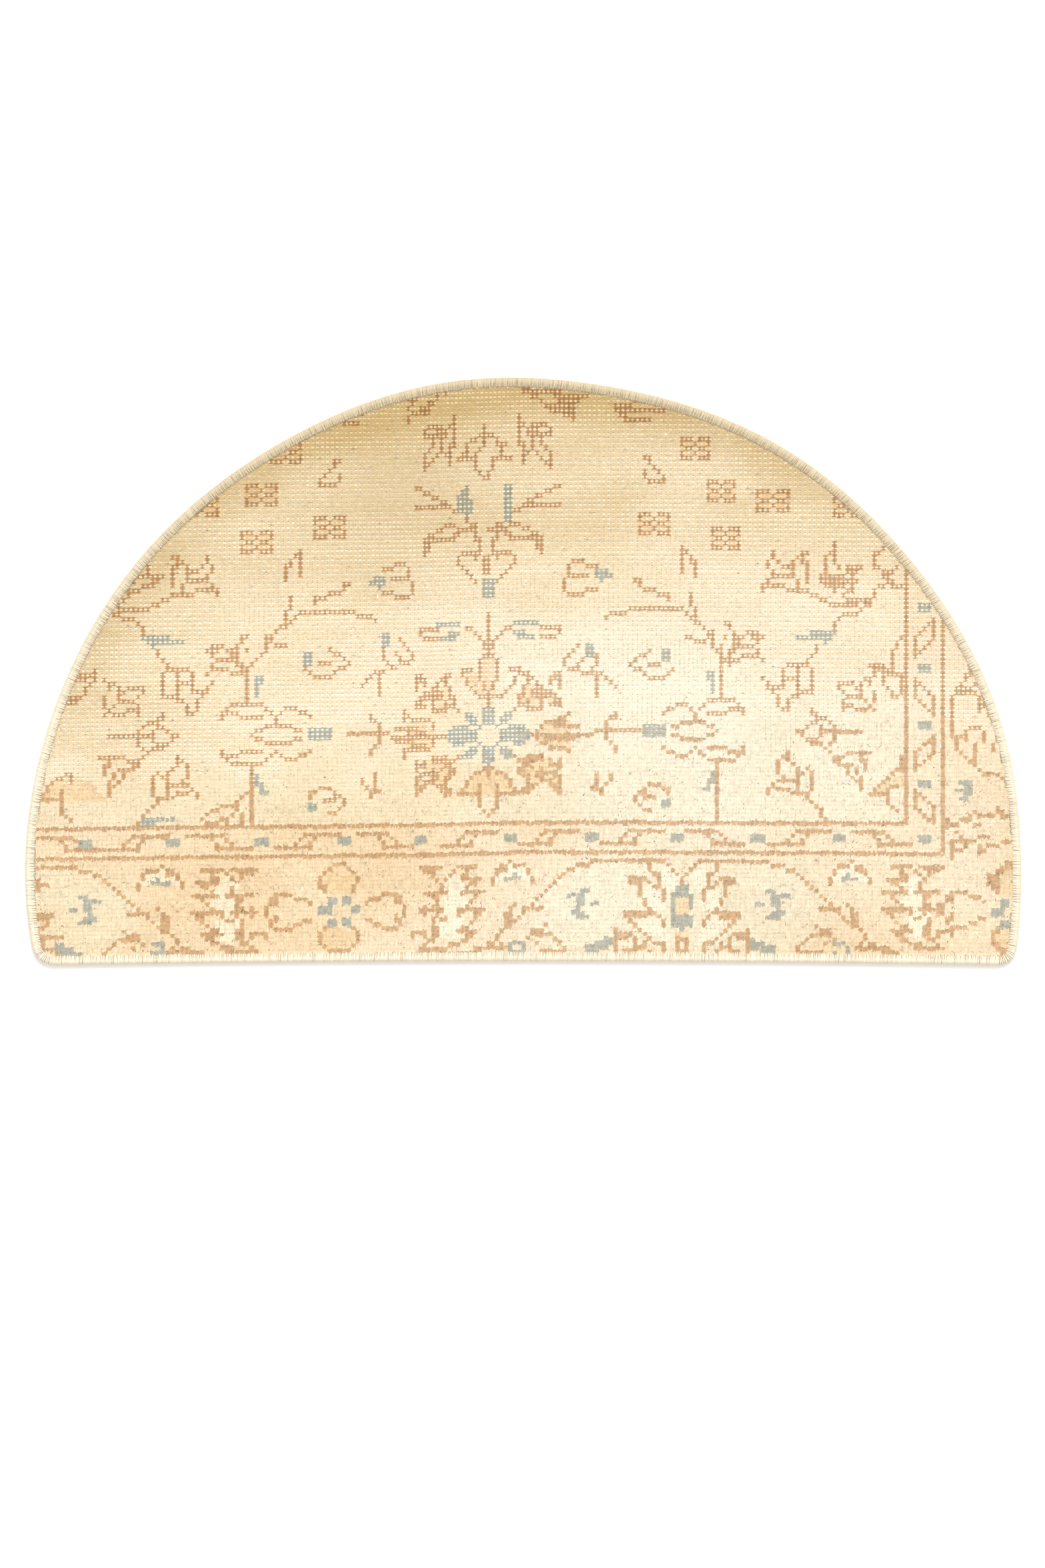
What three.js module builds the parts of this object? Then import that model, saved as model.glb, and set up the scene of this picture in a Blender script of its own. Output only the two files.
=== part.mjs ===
// A half-round hand-knotted rug: a flat piece cut from a worn carpet, with its raw edge
// overcast all the way round in cream yarn.
//
// Millimetres, +Z up. The rug lies flat on z = 0 with its pile up, its straight edge along -Y
// and its round edge towards +Y. The origin is the middle of the underside's bounding box.
//
// It has two pieces: the knotted cloth, and the ring of overcast yarn that binds its cut edge.

import * as THREE from "three";

// The cut outline is a circle of this radius, cut off by the straight edge below its centre.
const ROUND_RADIUS = 500;
const CENTRE_ABOVE_STRAIGHT_EDGE = 86;
const STRAIGHT_EDGE_BOW = 4; // the middle of the straight edge lies this much above its ends
const CORNER_SIZE = { left: 20, right: 17 };

// The scissors strayed from the circle. Each value is how far the edge lies outside it, at
// angles this far apart, anticlockwise from the first one.
const STRAY = {
  firstAngle: -20,
  angleApart: 20,
  out: [1.5, -1.5, 3, 1.2, 2.5, -0.8, 2.5, -0.3, 1.2, 1.2, 1, -3.5],
};

// The knotted cloth: warps, wefts and the knots' collars, with the pile standing on them.
const GROUND_THICKNESS = 3;
const PILE = { worn: 1.2, full: 2.2 };
const WORN_ABOVE = 165; // the pile is worn low from this far above the circle's centre upwards
const FULL_BELOW = 95; // and keeps its height below this far above it
const TREAD_HOLLOW = 0.25; // feet have pressed shallow hollows of this depth into the pile
const TREAD_LENGTH = 210; // from one hollow to the next

// The overcast edge is a roll of yarn round the cut edge.
const EDGING_WIDTH = 8;
const EDGING_THICKNESS = 6.4;
const EDGING_GAP = 0.3; // between the roll's inner wall and the cloth's cut edge
const ROLL_SIDES = 12; // a multiple of 4, so that the roll has a flat facet to rest on
// The yarn's ends are worked in at the right corner, which makes the roll fatter there.
const FASTENED_OFF = { x: 481, y: -85, spread: 14, swell: 0.15 };

// How finely the curves are stepped.
const ROUND_STEPS = 84;
const CORNER_STEPS = 6;
const STRAIGHT_STEPS = 27;
const TREAD_RINGS = 11;

const { degToRad, radToDeg, lerp, smoothstep } = THREE.MathUtils;

// The rim is the outline, anticlockwise round the circle's centre, which is (0, 0) until the end.

const strayCurve = new THREE.SplineCurve(
  STRAY.out.map((out, i) => new THREE.Vector2(STRAY.firstAngle + i * STRAY.angleApart, out)),
);

function roundEdge(angle) {
  const share = (angle - STRAY.firstAngle) / (STRAY.angleApart * (STRAY.out.length - 1));
  const radius = ROUND_RADIUS + strayCurve.getPoint(share).y;
  return new THREE.Vector2(radius * Math.cos(degToRad(angle)), radius * Math.sin(degToRad(angle)));
}

const straightEnds = -CENTRE_ABOVE_STRAIGHT_EDGE - STRAIGHT_EDGE_BOW / 2;

function straightEdge(share, left, right) {
  const bow = STRAIGHT_EDGE_BOW * (1 - (2 * share - 1) ** 2);
  return new THREE.Vector2(lerp(left, right, share), straightEnds + bow);
}

// Where the line from `before` through `point` comes down to the straight edge.
function cornerTip(before, point) {
  const onward = point.clone().sub(before);
  return point.clone().addScaledVector(onward, (straightEnds - point.y) / onward.y);
}

function roundedCorner(from, tip, to) {
  return new THREE.QuadraticBezierCurve(from, tip, to).getPoints(CORNER_STEPS).slice(1, -1);
}

function rimPoints() {
  // The round edge ends where a rounded corner begins, its size above the straight edge.
  const angleOf = (size) => radToDeg(Math.asin((size - CENTRE_ABOVE_STRAIGHT_EDGE) / ROUND_RADIUS));
  const first = angleOf(CORNER_SIZE.right);
  const last = 180 - angleOf(CORNER_SIZE.left);
  const round = Array.from({ length: ROUND_STEPS + 1 }, (_, i) =>
    roundEdge(lerp(first, last, i / ROUND_STEPS)),
  );
  const leftTip = cornerTip(round.at(-2), round.at(-1));
  const rightTip = cornerTip(round[1], round[0]);
  const straight = Array.from({ length: STRAIGHT_STEPS + 1 }, (_, i) =>
    straightEdge(i / STRAIGHT_STEPS, leftTip.x + CORNER_SIZE.left, rightTip.x - CORNER_SIZE.right),
  );
  return [
    ...round,
    ...roundedCorner(round.at(-1), leftTip, straight[0]),
    ...straight,
    ...roundedCorner(straight.at(-1), rightTip, round[0]),
  ];
}

const rim = rimPoints();

// The direction from each rim point straight into the cloth.
const inward = rim.map((_, i) => {
  const along = rim[(i + 1) % rim.length].clone().sub(rim.at(i - 1)).normalize();
  return new THREE.Vector2(-along.y, along.x);
});

const insetPoint = (i, distance) => rim[i].clone().addScaledVector(inward[i], distance);

// The pile's top above the floor, lower where the rug is worn.
function pileTop({ x, y }) {
  const pile = lerp(PILE.full, PILE.worn, smoothstep(y, FULL_BELOW, WORN_ABOVE));
  const wave = (distance) => Math.cos((2 * Math.PI * distance) / TREAD_LENGTH);
  return GROUND_THICKNESS + pile - (TREAD_HOLLOW * (1 - wave(x) * wave(y))) / 2;
}

// A closed geometry from points and faces of three or four point numbers each.
function closedGeometry(points, faces) {
  const triangles = faces.flatMap(([a, b, c, d]) => (d === undefined ? [a, b, c] : [a, b, c, a, c, d]));
  const geometry = new THREE.BufferGeometry().setFromPoints(points);
  geometry.setIndex(triangles);
  geometry.computeVertexNormals();
  return geometry;
}

// The cloth is a slab. Its underside is one flat fan, and its tread is rings of points that
// shrink from the cut edge to the middle, each point standing at the pile's height.
function clothGeometry() {
  const cutEdge = rim.map((_, i) => insetPoint(i, EDGING_WIDTH + EDGING_GAP));
  const count = cutEdge.length;
  const middle = new THREE.Vector2(0, (ROUND_RADIUS - CENTRE_ABOVE_STRAIGHT_EDGE) / 2);
  const points = cutEdge.map(({ x, y }) => new THREE.Vector3(x, y, 0));
  for (let ring = 0; ring < TREAD_RINGS; ring += 1) {
    for (const edgePoint of cutEdge) {
      const { x, y } = edgePoint.clone().lerp(middle, ring / TREAD_RINGS);
      points.push(new THREE.Vector3(x, y, pileTop({ x, y })));
    }
  }
  const treadMiddle = points.push(new THREE.Vector3(middle.x, middle.y, pileTop(middle))) - 1;
  const undersideMiddle = points.push(new THREE.Vector3(middle.x, middle.y, 0)) - 1;
  const innermost = TREAD_RINGS * count;
  const faces = [];
  for (let i = 0; i < count; i += 1) {
    const next = (i + 1) % count;
    faces.push([undersideMiddle, next, i]);
    for (let outer = 0; outer < innermost; outer += count) {
      faces.push([outer + i, outer + next, outer + count + next, outer + count + i]);
    }
    faces.push([innermost + i, innermost + next, treadMiddle]);
  }
  return closedGeometry(points, faces);
}

// The roll's section, starting at the rim. Each corner is how far in it lies and how high it
// stands, as shares of the roll's width and thickness.
function rollSection() {
  const reach = Math.cos(Math.PI / ROLL_SIDES); // from the middle to a facet, for corners 1 away
  return Array.from({ length: ROLL_SIDES }, (_, side) => {
    const turn = (2 * Math.PI * (side + 0.5)) / ROLL_SIDES;
    return { across: 0.5 - Math.cos(turn) / (2 * reach), up: 0.5 - Math.sin(turn) / (2 * reach) };
  });
}

// The overcast roll is its section carried round the rim, fatter where the yarn is fastened off.
function edgingGeometry() {
  const section = rollSection();
  const points = rim.flatMap((point, i) => {
    const away = point.distanceTo(FASTENED_OFF) / FASTENED_OFF.spread;
    const swell = 1 + FASTENED_OFF.swell * Math.exp(-(away ** 2));
    return section.map(({ across, up }) => {
      const { x, y } = insetPoint(i, across * EDGING_WIDTH);
      return new THREE.Vector3(x, y, up * EDGING_THICKNESS * swell);
    });
  });
  const faces = rim.flatMap((_, i) => {
    const here = i * ROLL_SIDES;
    const there = ((i + 1) % rim.length) * ROLL_SIDES;
    return section.map((_, side) => {
      const next = (side + 1) % ROLL_SIDES;
      return [here + side, here + next, there + next, there + side];
    });
  });
  return closedGeometry(points, faces);
}

const knottedWool = new THREE.MeshStandardMaterial({
  name: "knotted_wool",
  color: 0xead7a8,
  roughness: 0.95,
  metalness: 0,
});
const edgingYarn = new THREE.MeshStandardMaterial({
  name: "edging_yarn",
  color: 0xf6ebd0,
  roughness: 0.85,
  metalness: 0,
});

const cloth = new THREE.Mesh(clothGeometry(), knottedWool);
cloth.name = "knotted_cloth";

const edging = new THREE.Mesh(edgingGeometry(), edgingYarn);
edging.name = "overcast_edging";

// Both pieces are shifted together, to bring the middle of the rug's bounding box over the origin.
const rug = new THREE.Group();
rug.name = "half_round_rug";
rug.add(cloth, edging);
const middle = new THREE.Box3().setFromObject(rug).getCenter(new THREE.Vector3());
rug.position.set(-middle.x, -middle.y, 0);

export default rug;
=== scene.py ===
# %% [markdown]
# # A half-round hand-knotted rug
#
# The real rug is a half circle cut from a worn carpet, with cream yarn sewn over its cut edge.
# Its picture is made of about 22 000 knots of wool, and each knot shows as two small fans of
# cut yarn with the white cross-thread, the weft, between them.
#
# A photograph could be laid over a flat sheet, but then the rug would be smooth when seen from
# the side. Here the rug is made as a weaver makes it: a chart says which wool each knot has,
# and every knot is real geometry on a woven ground. All places are in millimetres until the
# meshes are made, because a knot is about 4.6 millimetres wide.

import bpy
import numpy as np
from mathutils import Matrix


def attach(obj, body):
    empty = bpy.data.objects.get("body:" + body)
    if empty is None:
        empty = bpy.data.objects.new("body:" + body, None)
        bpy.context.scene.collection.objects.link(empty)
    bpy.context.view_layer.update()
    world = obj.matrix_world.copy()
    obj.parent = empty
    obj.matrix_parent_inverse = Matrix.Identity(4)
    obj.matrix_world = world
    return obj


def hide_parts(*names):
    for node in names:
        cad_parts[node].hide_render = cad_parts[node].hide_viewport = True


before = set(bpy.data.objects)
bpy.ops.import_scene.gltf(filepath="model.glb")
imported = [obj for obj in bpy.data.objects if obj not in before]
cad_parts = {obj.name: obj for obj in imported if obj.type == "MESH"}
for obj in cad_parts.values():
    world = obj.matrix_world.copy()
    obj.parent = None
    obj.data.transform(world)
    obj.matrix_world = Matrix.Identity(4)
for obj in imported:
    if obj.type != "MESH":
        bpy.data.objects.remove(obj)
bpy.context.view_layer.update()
MM = 0.001


# %% [markdown]
# ## The outline
#
# The cloth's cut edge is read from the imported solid, so that the knots fill exactly the shape
# that the solid has. Its underside is one flat fan of points. Sorted by their direction from
# the middle they give the outline, because a half circle has no dents.

# %% Read the cut edge from the solid's underside
NEAR_THE_MIDDLE = 150  # points nearer than this are not on the edge


def cut_edge_of(node):
    """The outline of a flat solid's underside, anticlockwise, in millimetres."""
    points = np.array([vertex.co for vertex in node.data.vertices]) / MM
    low = points[points[:, 2] < points[:, 2].min() + 0.01][:, :2]
    low = np.unique(low.round(2), axis=0)
    middle = (low.min(axis=0) + low.max(axis=0)) / 2
    away = low - middle
    rim = low[np.hypot(*away.T) > NEAR_THE_MIDDLE]
    angles = np.arctan2(rim[:, 1] - middle[1], rim[:, 0] - middle[0])
    return rim[np.argsort(angles)]


cut_edge = cut_edge_of(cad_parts["knotted_cloth"])
after = np.roll(cut_edge, -1, axis=0)


# %% How far a place lies inside the cut edge
def distance_inside(x, y):
    """Millimetres from each place to the cut edge, negative outside it."""
    nearest = np.full(np.shape(x), np.inf)
    crossings = np.zeros(np.shape(x), int)
    for (x0, y0), (x1, y1) in zip(cut_edge, after):
        dx, dy = x1 - x0, y1 - y0
        along = np.clip(((x - x0) * dx + (y - y0) * dy) / (dx * dx + dy * dy), 0, 1)
        nearest = np.minimum(nearest, np.hypot(x - x0 - along * dx, y - y0 - along * dy))
        if dy:
            crossings += ((y0 > y) != (y1 > y)) & (x < x0 + (y - y0) * dx / dy)
    return np.where(crossings % 2 == 1, nearest, -nearest)


# %% [markdown]
# ## The warps and the rows
#
# A hand loom is never even. The warps, the threads that run from the straight edge to the
# round one, are wider apart in some places than in others, and the rows of knots were beaten
# down harder near the straight edge. Short tables say how wide and how high a knot is at some
# places, and each next warp or row is laid one such step further.

# %% Lay out the columns and the rows of knots
KNOT_WIDTH = {
    "at": [-480, -360, -320, -240, -200, -160, -120, -40, 40, 110, 160, 200, 240, 280, 320, 380],
    "is": [4.7, 4.95, 5.0, 4.85, 5.0, 4.3, 4.1, 4.35, 4.6, 4.9, 4.5, 4.2, 5.25, 4.7, 4.4, 4.6],
}
KNOT_HEIGHT = {
    "at": [-290, -180, -130, -90, -60, -20, 20, 50, 290],
    "is": [4.35, 4.3, 4.22, 4.09, 4.3, 4.45, 4.65, 4.72, 4.75],
}
ROW_RISE = {
    "at": [-490, -300, -110, 0, 100, 300, 490],
    "is": [-6.5, -4.0, -2.0, 0.8, 1.0, 0.0, -1.2],
}


def steps(first, last, size):
    """Places from first to last, each one knot's size after the one before it."""
    places = [first]
    while places[-1] < last:
        places.append(places[-1] + np.interp(places[-1], size["at"], size["is"]))
    return np.array(places)


def rise(x):
    """How much the rows of knots lie above their level at this distance across the rug."""
    return np.interp(x, ROW_RISE["at"], ROW_RISE["is"])


column_x = steps(-492, 492, KNOT_WIDTH)
row_y = steps(-290.4, 289, KNOT_HEIGHT)
knot_x, knot_y = np.meshgrid(column_x, row_y)
knot_y = knot_y + rise(knot_x)
print(len(column_x), "columns and", len(row_y), "rows of knots")


# %% [markdown]
# ## The chart
#
# A weaver works from a chart with one square for each knot. This chart is a grid of wool
# numbers. Lines of knots are drawn from place to place, areas are filled, and small blossoms
# are stamped from little charts in letters.

# %% Start an empty chart, counted from the big rosette
IVORY, SAND, BROWN, BLUE, GOLD, WHITE = range(6)
chart = np.full(knot_x.shape, IVORY)
ROSETTE_PLACE = (-36.5, -66)
MIDDLE_COLUMN = int(np.abs(column_x - ROSETTE_PLACE[0]).argmin())
ROSETTE_ROW = int(np.abs(row_y - ROSETTE_PLACE[1]).argmin())
print("the rosette's middle is at column", MIDDLE_COLUMN, "and row", ROSETTE_ROW)


# %% Tie single knots, lines, areas and small charts
def tie(column, row, wool):
    """Gives one knot its wool. Columns and rows are counted from the rosette."""
    column, row = column + MIDDLE_COLUMN, row + ROSETTE_ROW
    if 0 <= row < len(row_y) and 0 <= column < len(column_x):
        chart[row, column] = wool


def strokes_in(text):
    """Reads "column,row column,row / column,row ..." into lists of knots."""
    strokes = text.replace("\n", "/").split("/")
    return [[tuple(map(int, knot.split(","))) for knot in s.split()] for s in strokes if s.split()]


def copies_of(stroke, twins, up, shifts):
    """A stroke, its mirror images about the twin columns, raised, and its shifted copies."""
    yield stroke
    for axis in twins:
        yield [(round(2 * axis) - column, row + up) for column, row in stroke]
    for across, rows in shifts:
        yield [(column + across, row + rows) for column, row in stroke]


def line(text, wool=BROWN, twins=(), up=0, shifts=()):
    """Ties lines one knot wide through the places, and their copies."""
    for stroke in strokes_in(text):
        for knots in copies_of(stroke, twins, up, shifts):
            for (c0, r0), (c1, r1) in zip(knots, knots[1:] or knots):
                count = max(abs(c1 - c0), abs(r1 - r0), 1)
                for i in range(count + 1):
                    tie(c0 + round((c1 - c0) * i / count), r0 + round((r1 - r0) * i / count), wool)


def area(text, wool, twins=(), up=0, shifts=()):
    """Ties every knot inside the shapes and on their rims, and their copies."""
    for stroke in strokes_in(text):
        for knots in copies_of(stroke, twins, up, shifts):
            rows = [row for _, row in knots]
            for row in range(min(rows), max(rows) + 1):
                ends = []
                for (c0, r0), (c1, r1) in zip(knots, knots[1:] + knots[:1]):
                    if min(r0, r1) <= row <= max(r0, r1):
                        share = (row - r0) / (r1 - r0) if r1 != r0 else 0
                        ends += [c0 + share * (c1 - c0)] + ([c1] if r1 == r0 else [])
                for column in range(round(min(ends)), round(max(ends)) + 1):
                    tie(column, row, wool)


LETTERS = {"b": BROWN, "u": BLUE, "g": GOLD, "w": WHITE, "s": SAND}


def stamp(rows, column, top, mirrored=False):
    """Ties a little chart in letters, with its middle column and its top row at a place."""
    for down, letters in enumerate(rows.split()):
        left = column - (len(letters) - 1) // 2
        for across, letter in enumerate(reversed(letters) if mirrored else letters):
            if letter in LETTERS:
                tie(left + across, top - down, LETTERS[letter])


# %% [markdown]
# ## The field
#
# The big rosette with four lilies stands in the middle of the old carpet's field. A stem with
# flowers rises from it, and carnations, tulips and bells lie on both sides. The weaver tied the
# same shapes left and right of the middle column, so each is charted once, for the left, and
# tied again as its mirror image. A hand-tied carpet is never quite even, so some of the mirror
# images stand a knot or two off their place, as they do on the real one.

# %% The big rosette and its four lilies
ROSETTE = """
........uuu........
....uu..uuu..uu....
....uuu.uuu.uuu....
.....uu.uuu.uu.....
.uuuu..u...u..uuuu.
uuuuuuu.....uuuuuuu
uuuuuuu.....uuuuuuu
uuuuuuu.....uuuuuuu
.uuu...u...u...uuu.
.....uu.uuu.uu.....
....uuu.uuu.uuu....
...uuu..uuu..uuu...
........uuu........
.........u.........
"""
LILY = """
.....bbbb..b
.b.bgbbbbbb.
.bbbggggbb..
.b.ggbgbgbb.
..bbbbbggbb.
.bbggbbgbb..
.bgbbbggb...
.bbb..bbb...
.bb....bbb..
.b......bb..
"""
UPPER_LILY = """
.bb.....bb..
.bbb...bb...
.b.b..b.b...
.b...bbggb..
...bbbbbgb..
..bbbbbbgbb.
.bbg.bggbgb.
.bbb.bggbbb.
.....bbbb..b
"""
stamp(ROSETTE, 0, 6)
stamp(LILY, -13, -5)
stamp(LILY, 11, -5, mirrored=True)
stamp(UPPER_LILY, -13, 14)
stamp(UPPER_LILY, 11, 14, mirrored=True)

# %% The flower above the rosette and the one below it
area("-5,13 -5,12 -4,11 -3,10 -1,9 1,9 1,17 -1,17 -3,11 -4,14 -5,14", GOLD)
line("-1,18 -2,17 -2,13 -1,12 -1,11 / 0,19 0,18 / 0,10 0,7", twins=[0])
line("-6,15 -4,15 / -6,14 -5,13 -5,12 -4,11 -3,10 -2,9 0,9", twins=[0.5])
LOW_FLOWER = "0,-8 -2,-9 -4,-10 -5,-11 -5,-12 -6,-13 -7,-14 7,-14 6,-13 5,-12 5,-11 4,-10 2,-9"
LOW_FLOWER_LINES = "0,-8 -2,-9 -4,-10 -5,-11 -5,-12 -6,-13 -7,-14 -3,-14 / -2,-12 -2,-17 -1,-18 0,-19"
area(LOW_FLOWER, GOLD, shifts=[(-90, 0)])
line(LOW_FLOWER_LINES, twins=[0, -90], shifts=[(-90, 0)])
line("0,-8 0,-10 / -90,-8 -90,-10")

# %% The stem with its heart and its leaves
line("-3,44 -3,43 -2,43 -2,40 -1,39 -1,38 0,37 0,36 / -6,40 -3,40", twins=[-0.5])
line("-7,39 -7,38 -6,37 -5,36 -4,35 -3,34 / -3,39", twins=[-0.5])
line("0,27 0,19")
line("-5,24 -4,24 -3,23 -2,22 -1,21 -1,20 / -16,24 -12,24 / -16,23 / -15,22 -12,22", twins=[0])
area("-1,34 1,34 1,31 -1,31", BLUE)
line("-12,25 -7,25 / -9,23 -7,23 / -11,22 -8,22", BLUE, twins=[-0.5])

# %% The flower at the top and its two lilies
line("-1,67 -1,63 / -5,63 -5,61 / -7,60 -3,60 / -6,61 / -3,61 -3,58 -2,57 -1,56 0,56 1,58 1,60 / -2,62")
line("-5,62 -5,63 -4,64 -3,64 -2,65 1,65 2,64 3,63 3,61 / 1,60 5,60 / 2,63 / 4,63")
TOP_LILY = """
-14,67 -11,67 / -15,66 -15,65 / -15,65 -10,65 / -12,66 -10,66 / -9,67 -8,68 -8,69 / -8,67 -8,63
-13,64 -13,63 -14,62 -15,61 -15,58 / -11,65 -11,62 -12,61 -13,60 -14,59 / -9,63 -9,59 / -10,61
"""
line(TOP_LILY, twins=[-0.5])

# %% The sprays under the top flower
line("-17,54 -16,54 -15,53 -14,53 -13,52 -12,52 -11,51 -10,51", twins=[-0.5])
line("-17,50 -9,50 -8,49 -6,49 -5,48 -5,47 -4,46 -3,46 -3,44", twins=[-0.5])
area("-5,54 -7,52 -7,49 -5,48 -4,49 -4,50 -5,52", BLUE)
area("4,54 5,54 5,47 4,47", BLUE)
SIDE_SPRAY = "-15,40 -15,43 -8,43 / -14,42 -14,41 / -14,44 -13,44 -12,45 -11,45 -10,46 -8,46 -7,45 -3,45"
line(SIDE_SPRAY + " / -8,44 -7,44", twins=[-1.5])

# %% The arrow flowers and the hooks
area("12,2 14,3 18,3 18,-3 14,-3 12,-2", GOLD, twins=[-0.5])
line("-24,1 -33,1 / -23,0 -10,0 / -28,5 -28,4 -27,4 -26,3 -26,-1 -27,-2 -28,-3 -28,-4", twins=[0])
line("-20,6 -20,4 / -19,5 -18,4 -14,4 -13,3 -13,2 / -22,2 -17,2 / -22,-1 -18,-1")
line("-20,-5 -20,-3 -14,-3 -13,-2 -13,-1 / -19,2 -19,-1 / -17,1 -15,1 / -18,-2 -15,-2")
line("11,1 12,2 13,3 16,3 / 16,4 18,5 / 17,4 17,2 / 15,2 20,2 / 11,-1 12,-2 14,-3 17,-3 18,-4")
line("11,0 20,0 / 13,-1 19,-1")
line("-30,-10 -30,-11 -29,-12 -28,-13 -26,-13 / -27,-9 -27,-13 / -28,-14", twins=[-1.5])
line("-30,12 -29,13 -28,14 -27,15 -25,15 / -26,15 -26,10", twins=[-1], up=-1)

# %% The carnations
CARNATION = """
-59,5 -59,6 -58,7 -57,8 -51,8 -50,7 -49,6 / -59,6 -56,6 -55,5 -51,5 / -48,3 -48,5 -47,6 -46,7 -44,7
-43,6 -42,6 -41,5 / -53,1 -52,2 -51,2 -50,3 -45,3 -44,2 -43,2 / -53,1 -52,0 -51,0 -50,-1 -45,-1 -44,0
-59,-3 -59,-4 / -58,-4 -56,-4 -55,-3 -51,-3 / -58,-5 -57,-6 -51,-6 / -44,0 -43,0 / -44,7 -43,6
-50,-5 -49,-4 -48,-3 -47,-4 -46,-5 -44,-5 -43,-4 -42,-4 -41,-3 / -53,-6 -53,-21 / -54,16 -54,9
"""
LEFT_BRANCH = """
-53,-13 -55,-14 -57,-16 -59,-16 -60,-17 -61,-17 -63,-19 / -56,-16 -56,-17 -57,-18 -58,-19 -59,-19
-55,-18 -55,-21 / -62,-20 -60,-20 / -58,-20
"""
line(CARNATION, twins=[-1.5])
line(LEFT_BRANCH)
area("-41,2 -37,2 -37,0 -41,0", BLUE, twins=[-1.5])
line("-52,14 -51,14 -52,13 -51,13 / -52,12 -52,10", BLUE, twins=[-1.5])
line("-52,-9 -52,-11 / -51,-11 -51,-13 -50,-13", BLUE, twins=[-1.5])

# %% The spiral buds
LOW_SPIRAL = """
-41,-14 -41,-13 -40,-13 -39,-12 -37,-12 -36,-13 -36,-14 / -38,-15 -36,-15
-35,-14 -34,-15 -34,-16 -35,-17 -36,-18 -37,-18
"""
HIGH_SPIRAL = "-37,20 -36,19 -35,19 -34,18 -33,17 -34,16 -36,15 -37,14 -40,14 -41,15 -42,16 / -39,17 -37,17"
NEAR_SPIRAL = "-20,21 -19,20 -18,19 -18,18 -19,17 -21,17 -22,16 -23,16 -24,17 -25,18 -25,20 / -22,19 -21,18"
line(LOW_SPIRAL, twins=[-1])
line(HIGH_SPIRAL, twins=[-1], up=-1)
line(NEAR_SPIRAL + " / -21,22 -20,21", twins=[-0.5], up=-2)
area("-41,-16 -40,-16 -40,-17 -41,-17", BLUE, twins=[-1])
area("-42,19 -41,19 -41,17 -42,17", BLUE, twins=[-1.5])
area("-25,23 -24,23 -24,21 -25,21", BLUE, twins=[-1], up=-3)

# %% The curls and the winding vines
line("-25,37 -23,37 -22,38 -20,38 -19,37 -19,35 / -23,35 -20,35", twins=[-0.5])
line("-18,34 -18,32 -19,31 -22,31 -23,32 -25,32", twins=[-0.5])
line("-27,35 -25,35 / -28,34 -25,34 / -26,33", BLUE, twins=[-0.5], up=1)
VINE = """
-54,16 -53,17 -52,18 -51,19 -50,20 -50,23 / -49,23 -48,24 -47,25 -46,26 -46,28 -45,29 -45,31
-46,25 -45,26 -44,27 -43,28 / -49,22 -48,21 -46,21 / -42,28 -32,28 -31,27 -28,27 -27,26
-40,30 -40,31 -38,31 -37,32 -35,32 -34,33 -34,34 -33,34
"""
POINTED_LEAF = "-46,38 -46,35 / -45,38 -45,39 -44,40 -43,41 -43,36"
VINE_FLOWER = """
-62,20 -61,21 -59,21 / -61,20 -60,20 / -61,19 -60,18 -56,18 / -58,20 -57,19 -57,20
-56,21 -56,17 / -56,21 -55,22 -55,23 / -55,22 -54,23 / -54,20 / -61,17 -61,16 -62,15
-61,16 -58,16 / -57,15 -54,15 / -55,17 -55,16
"""
line(VINE, twins=[-0.5])
line(POINTED_LEAF, twins=[-0.5])
line(VINE_FLOWER, twins=[-1], up=2)
line("43,22 46,21 / 51,20 51,16")

# %% The tulips
TULIP = """
-71,15 -71,10 / -68,16 -68,9 / -65,15 -65,11 / -70,17 -70,16 -66,16 -65,15 / -71,10 -69,10
-67,13 -66,13 -65,12 / -65,11 -62,11 -62,12 -61,13 / -63,10 -64,9 / -68,9 -67,9 -66,8 -66,6
-64,8 -64,7 -65,6 / -72,20 -72,19 -71,18 -70,17
"""
line(TULIP, twins=[-0.5])
line("-75,23 -70,23 / -74,22 -67,22 / -73,21", BLUE, twins=[0])

# %% The bells on bent stems
BELL = """
-69,40 -68,40 -68,38 / -67,39 / -69,38 -69,34 / -66,38 -66,35 / -67,34 -67,33 / -65,35 -62,35 -62,36
-65,37 / -64,37 -63,38 -62,39 -62,40 / -61,38 -61,37 / -64,33 -60,33 -60,32 / -61,34 / -69,32 -65,32
-69,32 -70,31 -71,31 -72,30 -73,30 -74,29 -80,29
"""
LEFT_BELL = """
-74,40 -74,36 / -77,36 -71,36 / -77,35 / -73,35 -72,35 / -75,34 -73,34 / -79,33 -76,33 / -78,34
-78,32 -79,31 / -79,27 -77,27 -76,26 -75,25 -75,24 / -80,31 -80,28 -81,28
"""
RIGHT_BELL = """
73,39 73,36 / 74,40 75,41 / 75,42 75,38 / 72,35 77,35 / 76,37 / 78,37 81,37 / 78,36 80,36 / 77,35 77,34
72,34 76,34 / 73,33 76,33 / 75,32 / 78,34 80,34 / 79,35 79,33 / 76,33 79,32 / 79,27 77,27 75,25 75,24
77,31 78,30 83,30 84,31 85,33 87,34 / 79,30 83,29 79,27 / 84,39 84,37 / 84,40 86,41
85,37 86,36 88,36 89,37 90,38 / 86,35 88,34 / 88,33 91,33
"""
LOW_BELLS = """
-68,-4 -68,-6 -69,-7 -70,-8 -70,-14 / -67,-5 / -66,-6 -66,-8 -67,-10 / -71,-9 / -72,-8
-73,-9 -73,-13 -72,-14 / -71,-14 -69,-14 / -69,-11 -66,-11 / -68,-13 -66,-13 -65,-12 -64,-13
-64,-14 / -71,-14 -72,-15 -73,-16 -74,-17 -75,-18 -76,-20
"""
line(BELL, twins=[0])
line(LEFT_BELL + RIGHT_BELL)
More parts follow.
